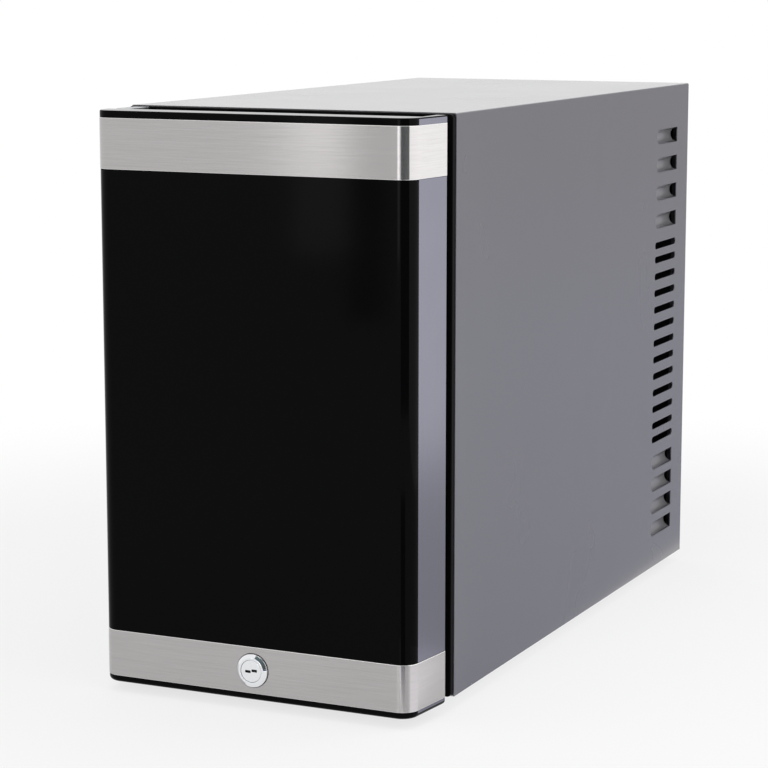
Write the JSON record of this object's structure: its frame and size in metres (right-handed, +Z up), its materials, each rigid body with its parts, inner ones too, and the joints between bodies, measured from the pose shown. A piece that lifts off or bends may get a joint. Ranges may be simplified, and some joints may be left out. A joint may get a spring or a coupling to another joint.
{
  "type": "wine cooler",
  "caption": "Slim deep counter-top bottle cooler: silver steel cabinet with side vents, thick gloss black door with brushed steel bands and a cam lock, wire shelves and a thermoelectric unit.",
  "frame": {"origin": "on the floor, under the middle of the whole cooler", "axes": "+X to the right seen from the front, +Y to the rear, +Z up; the door faces -Y"},
  "size_m": [0.25, 0.5624, 0.411],
  "materials": {
    "silver_paint": "satin",
    "black_paint": "satin",
    "zinc_sheet": "satin",
    "bright_screw": "satin",
    "foot_rubber": "matte",
    "seal_rubber": "matte",
    "foam": "matte",
    "black_plastic": "satin",
    "black_gloss": "gloss",
    "liner_plastic": "satin",
    "button_plastic": "satin",
    "lens_plastic": "satin",
    "bush_nylon": "satin",
    "brushed_band": "satin",
    "lock_chrome": "polished",
    "shelf_chrome": "polished",
    "aluminium": "satin",
    "module_ceramic": "matte",
    "board": "satin",
    "transformer": "matte",
    "capacitor_sleeve": "gloss",
    "lead_sleeve": "satin",
    "contact_brass": "polished"
  },
  "bodies": {
    "cabinet": {"base_plate": "zinc_sheet", "board_capacitors": "capacitor_sleeve", "board_transformer": "transformer", "cabinet_sheet": "silver_paint", "clamp_screws": "bright_screw", "cold_block": "aluminium", "cold_fan_frame": "black_plastic", "cold_fan_screws": "bright_screw", "cold_sink": "aluminium", "control_board": "board", "control_housing": "liner_plastic", "fan_cover": "liner_plastic", "fan_lead": "lead_sleeve", "feet": "foot_rubber", "foot_screws": "bright_screw", "frame_screws": "bright_screw", "front_frame": "black_plastic", "hinge_bracket_bottom": "zinc_sheet", "hinge_bracket_top": "zinc_sheet", "hinge_pins": "bright_screw", "hot_fan_frame": "black_plastic", "hot_fan_screws": "bright_screw", "hot_sink": "aluminium", "inlet_body": "black_plastic", "inlet_pins": "contact_brass", "inner_liner": "liner_plastic", "insulation": "foam", "lamp_lens": "lens_plastic", "lock_keeper": "zinc_sheet", "mains_lead": "lead_sleeve", "module_lead": "lead_sleeve", "module_seal": "seal_rubber", "peltier_module": "module_ceramic", "power_board": "board", "rear_bulkhead": "zinc_sheet", "rear_cover": "black_paint", "rear_cover_screws": "bright_screw", "temperature_sensor": "black_plastic"},
    "door": {"door_skin": "black_gloss", "door_band_top": "brushed_band", "door_band_bottom": "brushed_band", "door_cap_top": "black_plastic", "door_cap_bottom": "black_plastic", "hinge_bushes": "bush_nylon", "door_insulation": "foam", "door_inner_panel": "liner_plastic", "door_gasket": "seal_rubber", "lock_body": "lock_chrome", "lock_nut": "bright_screw"},
    "lock_core": {"lock_plug": "lock_chrome", "lock_cam": "zinc_sheet", "cam_screw": "bright_screw"},
    "cold_fan": {"cold_fan_rotor": "black_plastic"},
    "hot_fan": {"hot_fan_rotor": "black_plastic"},
    "down_button": {"button_down": "button_plastic"},
    "lamp_button": {"button_lamp": "button_plastic"},
    "up_button": {"button_up": "button_plastic"},
    "lower_shelf": {"shelf_1": "shelf_chrome"},
    "middle_shelf": {"shelf_2": "shelf_chrome"},
    "upper_shelf": {"shelf_3": "shelf_chrome"}
  },
  "joints": [
    {"name": "door_swing", "type": "hinge", "parent": "cabinet", "child": "door", "pos_m": [-0.1135, -0.24615, 0.21], "axis": [0, 0, -1], "range_deg": [0, 110]},
    {"name": "lock_turn", "type": "hinge", "parent": "door", "child": "lock_core", "pos_m": [0, -0.27815, 0.0284], "axis": [0, 1, 0], "range_deg": [0, 90]},
    {"name": "cold_fan_spin", "type": "hinge", "parent": "cabinet", "child": "cold_fan", "pos_m": [0, 0.10615, 0.218], "axis": [0, 1, 0], "continuous": true},
    {"name": "hot_fan_spin", "type": "hinge", "parent": "cabinet", "child": "hot_fan", "pos_m": [0, 0.21055, 0.218], "axis": [0, 1, 0], "continuous": true},
    {"name": "down_button_press", "type": "slide", "parent": "cabinet", "child": "down_button", "axis": [0, 1, 0], "range_m": [0, 0.001], "stiffness_N_per_m": 300},
    {"name": "lamp_button_press", "type": "slide", "parent": "cabinet", "child": "lamp_button", "axis": [0, 1, 0], "range_m": [0, 0.001], "stiffness_N_per_m": 300},
    {"name": "up_button_press", "type": "slide", "parent": "cabinet", "child": "up_button", "axis": [0, 1, 0], "range_m": [0, 0.001], "stiffness_N_per_m": 300},
    {"name": "lower_shelf_slide", "type": "slide", "parent": "cabinet", "child": "lower_shelf", "axis": [0, -1, 0], "range_m": [0, 0.018]},
    {"name": "middle_shelf_slide", "type": "slide", "parent": "cabinet", "child": "middle_shelf", "axis": [0, -1, 0], "range_m": [0, 0.018]},
    {"name": "upper_shelf_slide", "type": "slide", "parent": "cabinet", "child": "upper_shelf", "axis": [0, -1, 0], "range_m": [0, 0.018]}
  ]
}
